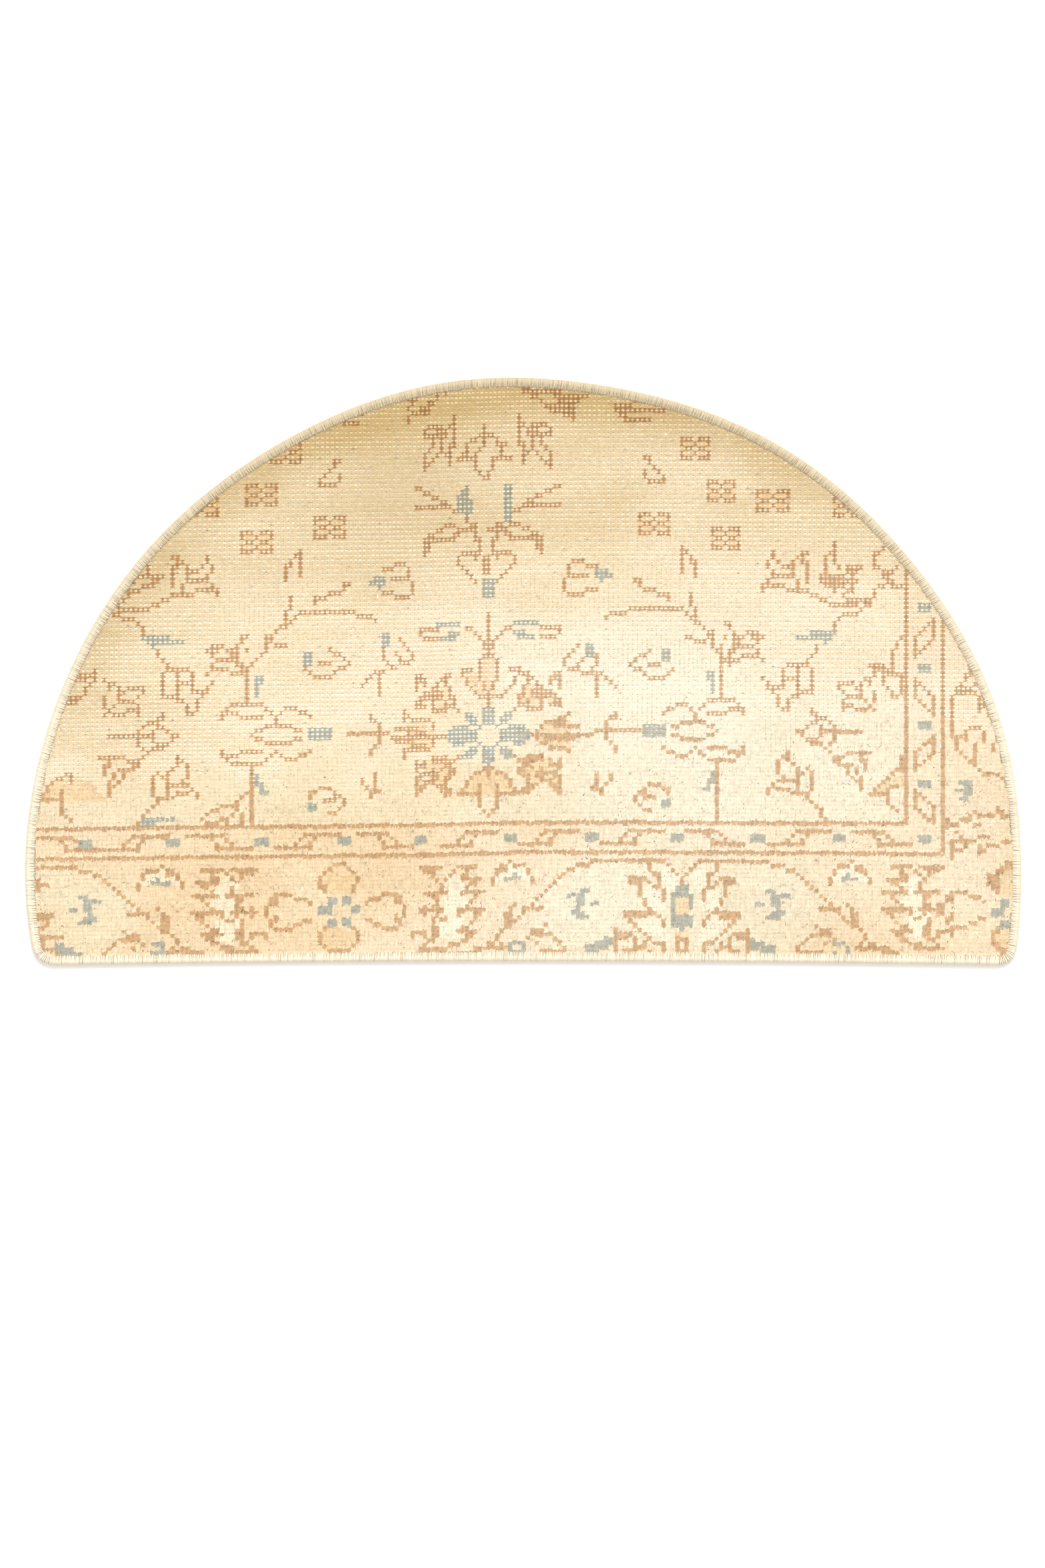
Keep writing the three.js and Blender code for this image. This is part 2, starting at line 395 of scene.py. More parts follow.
line(LOW_BELLS, twins=[-1.5])
line("-75,-19 -69,-19 / -75,-20 -73,-20 / -75,-21", BLUE)

# %% The flowers near the sides
CUP = """
-83,14 -82,13 -82,12 / -81,13 / -80,12 -80,9 -77,9 -76,10 -75,11 / -79,11 -78,12 -75,12
-83,10 -83,8 -82,7 -81,6 -79,6 -78,7 -76,7 / -76,8 -76,6 / -81,8 / -83,6
"""
SIDE_FLOWERS = """
-82,1 -73,1 / -76,2 -74,4 -73,4 -71,6 -72,3 -70,2 -69,1 / -73,2 -73,0 -72,-1 -70,-1 -68,1
-76,0 -75,-2 -74,-3 -73,-2 -71,-2
-84,-4 -82,-5 -82,-6 / -82,-4 -79,-4 -78,-5 -76,-5 -75,-4 / -77,-6 -76,-6 / -83,-6 -83,-8
-77,-7 -80,-7 -81,-8 -81,-9 / -79,-8 / -79,-9 -81,-11 -82,-11 / -82,-10 -82,-13
"""
LEFT_EDGE = "-89,15 -85,15 / -85,16 -85,14 -86,13 -87,12 -87,11 / -89,14 -87,14 / -91,10 -88,10 / -91,9 -89,9"
RIGHT_EDGE = """
88,19 88,15 / 89,20 90,22 / 83,16 86,16 / 84,15 87,15 / 86,14 86,12 87,11 88,10 88,9 90,10 90,14 87,14
90,-5 90,-8 89,-8 88,-9 87,-10 86,-11 85,-12 84,-13 83,-14 87,-14 / 89,-12 88,-12 87,-13 87,-16
88,-17 89,-18
"""
line(CUP, twins=[0.5])
line(SIDE_FLOWERS, twins=[-0.5])
area("90,-9 88,-10 85,-13 87,-13 90,-12", GOLD)
line(LEFT_EDGE + "/" + RIGHT_EDGE)

# %% The check blossoms and the little triangles
CHECK_BLOSSOM = "bbb.bbb bggbggb gbb.bbg bggbggb bbb.bbb"
for column, top in [(-63, 53), (-52, 45), (-51, 55), (-46, 64), (-37, 48), (36, 48), (45, 64), (51, 55),
                    (52, 45), (62, 53), (78, 52)]:
    stamp(CHECK_BLOSSOM, column, top)
line("-35,60 -36,60 -37,58 -38,57 -39,56 / -39,55 -36,55 / -35,57 -35,56", twins=[-0.5])

# %% The blossoms that the round edge cuts off
line("-21,73 -17,73 -18,72 -19,71 / -19,68 -19,69 -18,70 -14,70 / -16,71 -14,71 -14,72 -12,73 / -12,74")
line("-10,75 -10,74 / -34,68 -31,68 / -30,70")
line("8,75 23,75 / 8,74 16,74 / 10,73 11,73 12,72 13,71 19,71 / 14,70 19,70 / 17,69 19,69 / 19,68")
line("15,73 22,73 / 16,72 20,72 / 22,74 / 32,72 36,72 / 28,70 38,70 / 28,71 31,71 / 29,69 30,69 30,68 35,68")

# %% [markdown]
# ## The borders
#
# The old carpet's border runs along the straight edge and up the right side, between brown
# guard lines. The narrow border is a meander of brackets with blue squares between them. The
# broad one repeats a four-petalled flower, a toothed leaf and a large palmette, so half a
# repeat is charted and tied again as its mirror image on both sides.

# %% The border's ground and the guard lines
area("-99,-21 115,-21 115,-54 -99,-54 / 91,76 115,76 115,-54 91,-54", SAND)
line("-99,-21 91,-21 91,40 / -99,-28 99,-28 99,40")

# %% The meander of the narrow border
BRACKET = "......bbbbbbbb .....b..b..... ....b..b...... bbbbbbbb......"
for column, leaning_left in [(-91, True), (-77, False), (-60, True), (-42, False), (-25, True), (-5, False),
                             (13, False), (31, False), (49, True), (67, False), (85, True)]:
    stamp(BRACKET, column, -23, mirrored=leaning_left)
for column in (-87, -69, -51, -34, -16, 5, 23, 41, 59, 76, 95):
    stamp("uuu uuu", column, -24)
UPRIGHT_BRACKET = "....b ...bb ..b.b .b..b b...b b..b. b.b.. bb... b...."
for top, leaning_left in [(26, False), (13, True), (0, False), (-13, True)]:
    stamp(UPRIGHT_BRACKET, 95, top, mirrored=leaning_left)
for top in (29, 16, 3, -11):
    stamp("uuu uuu", 95, top)

# %% The four-petalled flower of the broad border
LAST_FLOWER = [(149, -1)]
TOP_PETAL = "-35,-30 -34,-30 -33,-31 -32,-32 -31,-33 -31,-34 -32,-35 -32,-36"
LOW_PETAL = "-32,-45 -31,-46 -31,-48 -32,-49 -33,-50 -35,-50"
SIDE_PETAL = """
-29,-39 -28,-38 -26,-38 -25,-37 -22,-37 -21,-38 -21,-39 -20,-40 -20,-42 -21,-43 -21,-44 -22,-45
-22,-45 -25,-45 -26,-44 -27,-44 -28,-43 -29,-43 / -22,-38 -22,-39 / -22,-43 -22,-42
"""
for left_or_right in ([], [-35]):
    area("-35,-31 -32,-33 -32,-36 -35,-36 / -35,-45 -32,-46 -32,-48 -35,-50", GOLD, twins=left_or_right,
         shifts=LAST_FLOWER)
area("-38,-31 -38,-36 -35,-36 -35,-31 / -38,-45 -38,-49 -35,-50 -35,-45", GOLD, shifts=LAST_FLOWER)
line(TOP_PETAL + "/" + LOW_PETAL + "/" + SIDE_PETAL, twins=[-35, 39.5])
line("-35,-30 -36,-30 -37,-31 -38,-32 -39,-33 -39,-35 -38,-36", shifts=LAST_FLOWER)
line("-38,-45 -39,-46 -39,-48 -38,-49 -37,-50 -35,-50", shifts=LAST_FLOWER)
area("-32,-40 -31,-40 -31,-41 -32,-41 / -34,-38 -33,-38 -33,-39 -34,-39", BLUE, twins=[-35])
area("-34,-43 -33,-43 -33,-44 -34,-44", BLUE, twins=[-35])
area("-39,-40 -37,-40 -37,-41 -39,-41 / -37,-38 -36,-38 -36,-39 -37,-39", BLUE, shifts=LAST_FLOWER)
area("-37,-43 -36,-43 -36,-44 -37,-44", BLUE, shifts=LAST_FLOWER)

# %% The toothed leaf and the hanging blossom
LEAF_TWINS = [-33, 42.5]  # a hand-tied repeat is a knot or two wider in some places
OUTER_TWINS = [-34, 41.5]
LEAF_ON_THE_LEFT = """
-16,-31 -11,-31 / -15,-32 -13,-32 / -13,-33 -11,-35 -11,-36 / -15,-37 -10,-37 / -13,-38 -12,-39 -12,-38
-16,-41 -14,-41 / -15,-40 -15,-42 / -13,-40 -12,-40 / -13,-41 -11,-41 / -12,-42 -11,-43 -10,-43
-13,-43 -13,-48 / -12,-45 -12,-47 / -18,-46 -18,-47 / -17,-46 -15,-46 -15,-47 -14,-48 -15,-49
-16,-50 -10,-50
"""
LEAF_ON_THE_RIGHT = """
-10,-50 -9,-49 -7,-49 -6,-48 -5,-47 / -10,-34 -9,-33 -8,-32 -7,-31 -3,-31
-5,-32 -6,-33 -6,-34 -2,-34 / -5,-33 / -3,-35 -4,-35 -5,-36 / -6,-37 -4,-37 / -3,-37 -1,-37
-3,-38 -4,-39 -5,-40 / -7,-41 -1,-41 / -7,-42 / -3,-42 -2,-42 / -3,-43 -5,-45 -6,-45 -7,-46 -3,-46
-5,-47 -4,-47 / -5,-48
"""
area("-8,-33 -6,-35 -7,-37 -5,-39 -7,-41 -6,-44 -7,-47 -9,-48 -11,-47 -11,-44 -10,-40 -9,-36 -10,-34",
     WHITE, twins=LEAF_TWINS)
line(LEAF_ON_THE_LEFT, twins=OUTER_TWINS)
line(LEAF_ON_THE_RIGHT, twins=LEAF_TWINS)
BLOSSOM_TWINS = [-33, 42]
area("2,-34 3,-32 5,-31 8,-32 9,-34", WHITE, twins=BLOSSOM_TWINS)
line("1,-35 1,-34 2,-33 2,-32 3,-31 4,-31 5,-30 6,-31 8,-31 9,-32 9,-33 10,-34 10,-35 / 3,-32 4,-32",
     twins=BLOSSOM_TWINS)
line("4,-34 7,-34 / 6,-33", BLUE, twins=BLOSSOM_TWINS)

# %% The arch over the palmette, and the buds under its feet
ARCH = """
3,-46 4,-45 5,-44 6,-44 7,-43 8,-42 8,-41 9,-41 10,-40 18,-32 19,-32 20,-31 22,-31 23,-30 38,-30
38,-30 39,-31 40,-32 41,-33 42,-34 / 8,-41 12,-41 / 6,-40 5,-41 / 5,-42 4,-42 4,-44 / 5,-43 5,-45
-5,-51 -4,-51 -3,-50 -1,-50 0,-49 1,-49 2,-48 2,-47 3,-46 / 0,-50 4,-50 / -3,-51 -2,-51 / 3,-49
9,-48 10,-47 10,-46 12,-46 13,-45 / 11,-47 12,-47 / 13,-47 14,-47 / 15,-48 16,-49 17,-50 / 11,-49
12,-51 17,-51
"""
area("15,-36 20,-32 23,-31 38,-31 42,-35 42,-50 15,-50 10,-45 10,-41", IVORY, twins=BLOSSOM_TWINS)
line(ARCH, twins=BLOSSOM_TWINS)
line("21,-37 22,-37 / 18,-38 21,-38 / 20,-39 21,-39 / 20,-40 21,-40 / 23,-40 24,-40 / 20,-41", BLUE,
     twins=[-33, 41.5])
line("19,-42 21,-42 / 20,-43 22,-43", BLUE, twins=[-33, 41.5])
line("26,-48 27,-48 / 24,-49 27,-49 / 22,-50 26,-50 / 22,-51 24,-51", BLUE, twins=[-33, 42])
line("5,-49 8,-49 8,-51 5,-51 5,-49", BLUE)
line("-73,-48 -71,-48 -71,-50 -73,-50 / 75,-49 77,-49 78,-50 78,-51 77,-52 75,-51", BLUE)

# %% The palmette
PALMETTE = """
31,-34 34,-34 / 31,-35 33,-35 / 35,-35 36,-36 37,-36 / 37,-33 37,-35 / 35,-31 35,-32 36,-33
33,-36 33,-38 34,-39 34,-40 35,-41 / 38,-37 38,-39 / 30,-42 36,-42 37,-43 38,-44 38,-45
31,-43 34,-43 / 30,-43 32,-45 33,-46 34,-47 35,-48 36,-49 38,-50
28,-46 28,-51 / 29,-47 31,-47 / 29,-48 30,-48 / 32,-48 32,-51 / 33,-50 34,-50 / 34,-49 35,-51
37,-49 38,-49 / 38,-51 / 30,-51 31,-51
"""
area("35,-36 37,-38 38,-41 36,-42 34,-39 / 38,-44 39,-49 35,-46 33,-44 / 38,-31 41,-34 39,-37 38,-35",
     WHITE, twins=[42.5])
line(PALMETTE, twins=[42.5])
line("42,-35")
area("41,-38 43,-38 43,-45 41,-45 / 41,-47 43,-47", GOLD)
area("41,-36 43,-36 43,-37 41,-37", BLUE)
line("40,-38 44,-38 / 40,-39 40,-45 44,-45 44,-43 41,-43 / 44,-39 44,-41 / 41,-44 43,-44 / 42,-46", BLUE)
line("41,-48 43,-48 43,-51 41,-51 41,-48")

# %% The left corner and the right side
line("-97,-33 -97,-35 -96,-34 -95,-34 / -97,-41 -94,-41 / -97,-42 -95,-42 -95,-43 -97,-45")
line("-97,-47 -97,-50 / -96,-46 -92,-46 / -96,-47 -96,-50 / -95,-49 -94,-49 / -96,-51 -92,-51 / -93,-50")
RIGHT_SIDE = """
106,16 104,14 103,12 / 102,11 105,11 / 102,10 106,10 / 105,14 / 106,12 108,11 / 101,9 101,0 103,0
107,9 107,6 / 108,8 110,8 / 108,7 109,7 / 109,5 110,5 / 104,-1 104,1 105,2 107,2 108,1 108,-1
102,-1 102,-3 103,-4 104,-5 108,-9 110,-9 112,-10 / 106,-2 106,-6 / 110,-3 110,-2 111,-1
100,-22 100,-20 101,-21 102,-21 103,-20 105,-20 105,-19 106,-18 / 107,-19 110,-19 111,-18 111,-17 112,-18
112,-19 113,-19 / 106,-21 107,-21 / 102,-23 103,-24 104,-25 / 101,-25 106,-25 107,-24 109,-24
101,-26 101,-29 / 102,-27 104,-26 / 107,-28 107,-26 / 108,-27 109,-26 111,-26 112,-25 114,-25
109,-34 111,-34 / 109,-33 109,-35 / 111,-33 114,-30
"""
line(RIGHT_SIDE)
line("103,-11 105,-11 / 104,-12 105,-12 / 102,-13 105,-13 / 104,-14 105,-14 / 103,-15 104,-15", BLUE)


# %% [markdown]
# ## Which knots lie on the rug
#
# The chart is a rectangle, and the rug is cut from it. Only the knots inside the cut edge are
# tied.

# %% Keep the knots inside the cut edge
inside_by = distance_inside(knot_x, knot_y)
tied = inside_by > 0.2
print(tied.sum(), "knots")
for number, name in enumerate("ivory sand brown blue gold white".split()):
    print(name, int((chart[tied] == number).sum()))


# %% [markdown]
# ## Wear and age
#
# Feet and washing have changed the rug. The round end is worn low and has gone khaki, the
# middle of the straight edge is bleached pale, and its pile is still long. These changes are
# worked out once for every knot, from a few soft patches and some random clouds, and stored on
# the meshes as attributes. The materials read them.

# %% Soft patches and clouds
def patch(x, y, middle, reach):
    """1 in the middle of a soft oval patch, falling to 0 beyond its reach."""
    return np.exp(-(((x - middle[0]) / reach[0]) ** 2) - ((y - middle[1]) / reach[1]) ** 2)


def ramp(value, start, end):
    """0 before start and 1 after end, with a smooth turn between."""
    share = np.clip((value - start) / (end - start), 0, 1)
    return share * share * (3 - 2 * share)


CLOUD_CELLS = 256
CLOUD_REACH = 700  # the cells begin this far left of and below the rug's middle


def cloud(x, y, size, seed):
    """Soft random values from -1 to 1 that change over this many millimetres."""
    grid = np.random.default_rng(seed).uniform(-1, 1, (CLOUD_CELLS, CLOUD_CELLS))
    u, v = (x + CLOUD_REACH) / size[0], (y + CLOUD_REACH) / size[1]
    i, j = np.floor(u).astype(int), np.floor(v).astype(int)
    s, t = ramp(u - i, 0, 1), ramp(v - j, 0, 1)
    i, j = i % (CLOUD_CELLS - 1), j % (CLOUD_CELLS - 1)
    low = grid[j, i] * (1 - s) + grid[j, i + 1] * s
    high = grid[j + 1, i] * (1 - s) + grid[j + 1, i + 1] * s
    return low * (1 - t) + high * t


# %% How long the pile is, and where it is soiled or bleached
def pile_left(x, y):
    """1 where the pile still has its length, 0 where it is worn to the ground."""
    uneven = 45 * cloud(x, y, (90, 90), 1) + 25 * cloud(x, y, (30, 30), 2)
    return ramp(-y + uneven + 0.1 * x, 45, 130)


def soiling(x, y, inside):
    """How far the wool has gone khaki."""
    soil = 0.06 + 0.12 * ramp(y, -100, 60) + 0.22 * ramp(y, 40, 190) + 0.35 * ramp(y, 180, 290)
    soil += 0.12 * ramp(-x, 250, 480) * ramp(y, -150, 0)
    soil += 0.4 * (1 - ramp(inside, 0, 50)) * ramp(y, -110, 60) * (1 - 0.8 * ramp(x, 200, 400))
    soil += 0.2 * patch(x, y, (100, 178), (35, 20)) + 0.3 * patch(x, y, (-160, 150), (110, 70))
    soil += 0.22 * patch(x, y, (-110, 203), (60, 30)) + 0.12 * patch(x, y, (-390, -30), (90, 60))
    soil += 0.1 * cloud(x, y, (70, 50), 3) + 0.06 * cloud(x, y, (300, 9), 4)
    return np.clip(soil, 0, 1)


def bleaching(x, y):
    """How far the wool has lost its colour."""
    pale = 0.9 * patch(x, y, (170, -90), (170, 110)) + 0.6 * patch(x, y, (60, -250), (180, 70))
    pale += 0.5 * patch(x, y, (150, 20), (120, 90)) + 0.4 * patch(x, y, (0, 0), (70, 50))
    pale += 0.5 * patch(x, y, (420, -10), (100, 90)) + 0.6 * patch(x, y, (420, -190), (130, 110))
    pale += 0.2 * cloud(x, y, (60, 60), 5)
    return np.clip(pale, 0, 1)


fullness = pile_left(knot_x, knot_y)
age = {
    "soil": soiling(knot_x, knot_y, inside_by),
    "bleach": bleaching(knot_x, knot_y),
    "full": fullness,
}
print("full pile on", round(100 * float((fullness[tied] > 0.5).mean())), "% of the rug")


# %% [markdown]
# ## Wool and cotton
#
# All the wools share one recipe: a dye colour that has faded on the rims of the tufts, browned
# by soil, bleached towards cream, and made a little lighter or darker from tuft to tuft. On the
# edging yarn the same rim mix is painted shade on the outer wall and underside of the turns. Fine
# noise breaks each tuft into fibres. Wool hardly shines, so it is rough, with a touch of sheen.

# %% A material made of nodes
def rgb(red, green, blue):
    """A colour as seen on screen, as Blender's linear values."""
    seen = np.array([red, green, blue]) / 255
    return (*np.where(seen < 0.04045, seen / 12.92, ((seen + 0.055) / 1.055) ** 2.4), 1)


def add(tree, kind, **settings):
    """Adds a node and sets its options."""
    node = tree.nodes.new(kind)
    for name, value in settings.items():
        setattr(node, name, value)
    return node


def mixed(tree, blend, share, first, second):
    """Blends two colours. Each input is a socket or a plain value."""
    node = add(tree, "ShaderNodeMix", data_type="RGBA", blend_type=blend)
    for socket, value in zip([node.inputs[0], node.inputs[6], node.inputs[7]], [share, first, second]):
        if isinstance(value, bpy.types.NodeSocket):
            tree.links.new(value, socket)
        else:
            socket.default_value = value
    return node.outputs[2]


def ranged(tree, value, low, high, start=0.0, end=1.0):
    """Turns a value between start and end into one between low and high."""
    node = add(tree, "ShaderNodeMapRange")
    tree.links.new(value, node.inputs[0])
    for i, number in enumerate([start, end, low, high], start=1):
        node.inputs[i].default_value = number
    return node.outputs[0]


def noise(tree, scale, detail=2.0, stretch=(1, 1, 1)):
    """Random values over the rug. The scale is how many waves fit in one metre."""
    place = add(tree, "ShaderNodeTexCoord").outputs["Object"]
    mapping = add(tree, "ShaderNodeMapping")
    mapping.inputs["Scale"].default_value = stretch
    tree.links.new(place, mapping.inputs["Vector"])
    node = add(tree, "ShaderNodeTexNoise")
    node.inputs["Scale"].default_value = scale
    node.inputs["Detail"].default_value = detail
    tree.links.new(mapping.outputs[0], node.inputs["Vector"])
    return node.outputs[0]


def attribute(tree, name):
    """A value stored on the mesh."""
    return add(tree, "ShaderNodeAttribute", attribute_name=name).outputs["Fac"]


SOILED = rgb(212, 196, 158)
BLEACHED = rgb(255, 250, 236)
# a pale tan: the faded tips of the wools, and painted shade on the edging's outer wall and underside
FADED_TIP_AND_SHADE_TAN = rgb(240, 216, 172)


def yarn(name, colour, contrast, fibre, roughness=0.95, sheen=0.2, fading=0.5, rim_fade_and_shade=0.0):
    """Wool or cotton. Contrast is the change from tuft to tuft, fibre how fine its fuzz is."""
    material = bpy.data.materials.new(name)
    material.use_nodes = True
    tree = material.node_tree
    shader = tree.nodes["Principled BSDF"]
    shader.inputs["Roughness"].default_value = roughness
    shader.inputs["Sheen Weight"].default_value = sheen
    shader.inputs["Specular IOR Level"].default_value = 0.2
    # rim mix: faded tips on the wools, painted shade on the edging yarn
    rim = ranged(tree, attribute(tree, "rim"), 0.0, rim_fade_and_shade)
    faded_and_shaded = mixed(tree, "MIX", rim, colour, FADED_TIP_AND_SHADE_TAN)
    soil = ranged(tree, attribute(tree, "soil"), 0.0, 1.0)
    worn = mixed(tree, "MULTIPLY", soil, faded_and_shaded, SOILED)
    bleach = ranged(tree, attribute(tree, "bleach"), 0.0, fading)
    pale = mixed(tree, "MIX", bleach, worn, BLEACHED)
    tuft = ranged(tree, attribute(tree, "shade"), 1 - contrast, 1 + contrast, -1, 1)
    toned = mixed(tree, "MULTIPLY", 1.0, pale, tuft)
    strands = ranged(tree, noise(tree, 480, 2.0, (1, 0.2, 1)), 0.86, 1.08, 0.3, 0.7)
    toned = mixed(tree, "MULTIPLY", attribute(tree, "full"), toned, strands)
    fuzz = ranged(tree, noise(tree, fibre), 0.86, 1.1, 0.3, 0.7)
    coloured = mixed(tree, "MULTIPLY", 1.0, toned, fuzz)
    tree.links.new(coloured, shader.inputs["Base Color"])
    bump = add(tree, "ShaderNodeBump")
    bump.inputs["Distance"].default_value = 0.3 * MM
    bump.inputs["Strength"].default_value = 0.5
    tree.links.new(noise(tree, fibre * 1.3, 3.0), bump.inputs["Height"])
    tree.links.new(bump.outputs[0], shader.inputs["Normal"])
    return material


# %% The six wools, the cotton and the edging yarn
WOOLS = {
    "ivory": yarn("ivory_wool", rgb(241, 221, 185), 0.05, 1400),
    "sand": yarn("sand_wool", rgb(243, 216, 177), 0.05, 1400),
    "brown": yarn("brown_wool", rgb(184, 128, 80), 0.16, 1400, fading=0.12, rim_fade_and_shade=0.5),
    "blue": yarn("blue_wool", rgb(150, 162, 158), 0.12, 1400, fading=0.12, rim_fade_and_shade=0.35),
    "gold": yarn("gold_wool", rgb(239, 208, 162), 0.08, 1400, fading=0.25),
    "white": yarn("white_wool", rgb(247, 232, 201), 0.05, 1400),
}
COTTON = yarn("weft_cotton", rgb(255, 247, 230), 0.06, 1000, sheen=0.1, fading=0.3)
WARP_COTTON = yarn("warp_cotton", rgb(248, 232, 196), 0.05, 1000, sheen=0.1, fading=0.5)
# its rim mix paints tan shade on the outer wall and underside of each turn
EDGING = yarn("edging_yarn", rgb(252, 243, 222), 0.06, 1500, fading=0.2, rim_fade_and_shade=0.6)
EDGE_CLOTH = yarn("edge_cloth", rgb(240, 222, 184), 0.1, 900)
print(len(bpy.data.materials), "materials")


# %% [markdown]
# ## One way to make every mesh
#
# Each piece is thousands of small copies of one shape, such as a fan of yarn. Arrays of points
# are worked out for all the copies at once and joined in one mesh, which is far quicker than
# one object for each knot. A map of the rug seen from above is kept as UVs.

# %% Join many small shapes in one piece
MAP_WIDTH = 1040  # millimetres of the rug that fit across its map


def piece(name, points, faces, material, values=None, smooth=True, below=False):
    """A mesh piece. Points are in millimetres, values are attributes with one number a point."""
    mesh = bpy.data.meshes.new(name)
    mesh.from_pydata((np.asarray(points) * MM).tolist(), [], np.asarray(faces).tolist())
    mesh.polygons.foreach_set("use_smooth", [smooth] * len(mesh.polygons))
    for key, numbers in (values or {}).items():
        layer = mesh.attributes.new(key, "FLOAT", "POINT")
        layer.data.foreach_set("value", np.asarray(numbers, float).ravel())
    corners = np.zeros(len(mesh.loops), int)
    mesh.loops.foreach_get("vertex_index", corners)
    flat = np.asarray(points)[corners][:, :2] / MAP_WIDTH + (0.5, 0.5)
    if below:
        flat[:, 0] = 1 - flat[:, 0]
    mesh.uv_layers.new(name="OFBake").data.foreach_set("uv", flat.ravel())
    mesh.materials.append(material)
    new = bpy.data.objects.new(name, mesh)
    bpy.context.scene.collection.objects.link(new)
    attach(new, "root")
    print(name, len(points), "points", sum(len(p.vertices) - 2 for p in mesh.polygons), "triangles")
    return new


def copies(count, shape_points, shape_faces):
    """Face numbers for many copies of a shape that has this many points."""
    start = np.arange(count)[:, None, None] * shape_points
    return (start + np.asarray(shape_faces)[None]).reshape(-1, len(shape_faces[0]))


# %% [markdown]
# ## The woven ground
#
# Under the pile is a plain weave of warps and wefts. It hardly shows from above, so it is one
# thin slab with the cut edge as its outline.

# %% The ground between the knots
GROUND_TOP, GROUND_BOTTOM = 3.1, 0.6
count = len(cut_edge)
top = np.column_stack([cut_edge, np.full(count, GROUND_TOP)])
bottom = np.column_stack([cut_edge, np.full(count, GROUND_BOTTOM)])
middle = cut_edge.mean(axis=0)
ground_points = np.vstack([top, bottom, [*middle, GROUND_TOP], [*middle, GROUND_BOTTOM]])
here = np.arange(count)
there = (here + 1) % count
ground_faces = np.vstack([
    np.column_stack([here, there, np.full(count, 2 * count)]),
    np.column_stack([there + count, here + count, np.full(count, 2 * count + 1)]),
    np.column_stack([here, here + count, there + count]),
    np.column_stack([here, there + count, there]),
])
ground = piece("woven_ground", ground_points, ground_faces, WARP_COTTON, smooth=False)
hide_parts("knotted_cloth")


# %% [markdown]
# ## The wefts
#
# After each row of knots the weaver passes a white cotton thread, which goes over and under
# the warps. Where the pile is worn its humps show between the knots as a line of small beads.
# Each is a ribbon that rises between two knots and dips under the middle of one.

# %% White wefts that rise between the knots
# Share of the way to the next knot, height, half width
BEAD = [(0.03, 2.8, 0.3), (0.24, 3.7, 0.72), (0.76, 3.7, 0.72), (0.97, 2.8, 0.3)]


def weft_beads():
    """A ribbon of three quads from each knot to the next one, with its soil and its shade."""
    random = np.random.default_rng(30)
    pairs = tied[:, :-1] & tied[:, 1:]
    count = int(pairs.sum())
    x0, x1 = knot_x[:, :-1][pairs], knot_x[:, 1:][pairs]
    y0, y1 = knot_y[:, :-1][pairs], knot_y[:, 1:][pairs]
    thick = 1 + 0.45 * cloud(x0, y0, (70, 16), 31) + 0.2 * random.normal(0, 1, count)
    thick = np.clip(thick, 0.3, 1.4)
    points = []
    for share, high, half in BEAD:
        x, y = x0 + share * (x1 - x0), y0 + share * (y1 - y0) + random.normal(0, 0.12, count)
        up = np.full(count, high) * (0.94 + 0.06 * thick)
        points += [(x, y - half * thick, up), (x, y + half * thick, up)]
    points = np.array(points).transpose(2, 0, 1).reshape(-1, 3)
    quads = [(2 * i, 2 * i + 2, 2 * i + 3, 2 * i + 1) for i in range(3)]
    soil = np.repeat(0.7 * age["soil"][:, :-1][pairs], 8)
    shade = np.repeat(random.normal(0, 0.6, count), 8)
    return points, copies(count, 8, quads), {"soil": soil, "shade": shade}


points, faces, values = weft_beads()
weft = piece("weft_threads", points, faces, COTTON, values)


# %% [markdown]
# ## The pile
#
# One knot is a loop of wool round two warps with both ends cut off short. Seen from above it
# is two fans, one above the weft and one below it. A worn knot has narrow fans with a waist
# between them. A full one is wider and longer, hides the weft, and leans towards the straight
# edge. Each fan is a small tent of seven triangles with a notch in its outer end, and every
# point of it strays a little.

# %% The shape of a fan, worn and full
# Across and along, in shares of half a knot, for the points round the fan
UPPER_FAN = {
    "worn": [(-0.22, -0.15), (0.22, -0.15), (0.85, 0.5), (1.05, 1.35), (0.2, 1.02),
             (-0.8, 1.15), (-0.85, 0.5)],
    "full": [(-0.8, -0.4), (0.8, -0.4), (1.05, 0.5), (0.85, 1.75), (0.1, 1.0),
             (-0.7, 1.6), (-1.05, 0.4)],
}
LOWER_FAN = {
    "worn": [(-0.22, -0.15), (0.22, -0.15), (0.95, 0.48), (0.92, 1.2), (0.0, 1.02),
             (-0.92, 1.2), (-0.95, 0.48)],
    "full": [(-0.85, -0.35), (0.85, -0.35), (1.1, 0.4), (0.75, 1.55), (0.05, 1.05),
             (-0.75, 1.55), (-1.1, 0.4)],
}
FAN_TOP = {"worn": (0.0, 0.75), "full": (0.0, 0.6)}
FAN_RISE = [0.45, 0.45, 0.75, 0.8, 0.9, 0.8, 0.75]  # each rim point's share of the height
FAN_POINTS = len(FAN_RISE) + 1  # the rim and the crown
PILE_HEIGHT = {"worn": 1.0, "full": 1.6}
PILE_ROOT = GROUND_TOP - 0.1
LEAN = {"worn": 0.1, "full": 0.8}  # how far a tuft leans over by the height below
LEAN_HEIGHT = 2.5
STRAY = {"worn": 0.22, "full": 0.4}
FADED_CROWN = 0.45  # how much of the rim's fading reaches the crown of a full tuft
SPREAD = {"ivory": 1.06, "sand": 1.06, "gold": 1.06, "white": 1.06, "brown": 1.0, "blue": 0.98}


def between(table, full):
    """Values for worn and full pile, mixed for each knot."""
    worn_value, full_value = np.array(table["worn"]), np.array(table["full"])
    full = full.reshape(-1, *[1] * worn_value.ndim)
    return worn_value * (1 - full) + full_value * full


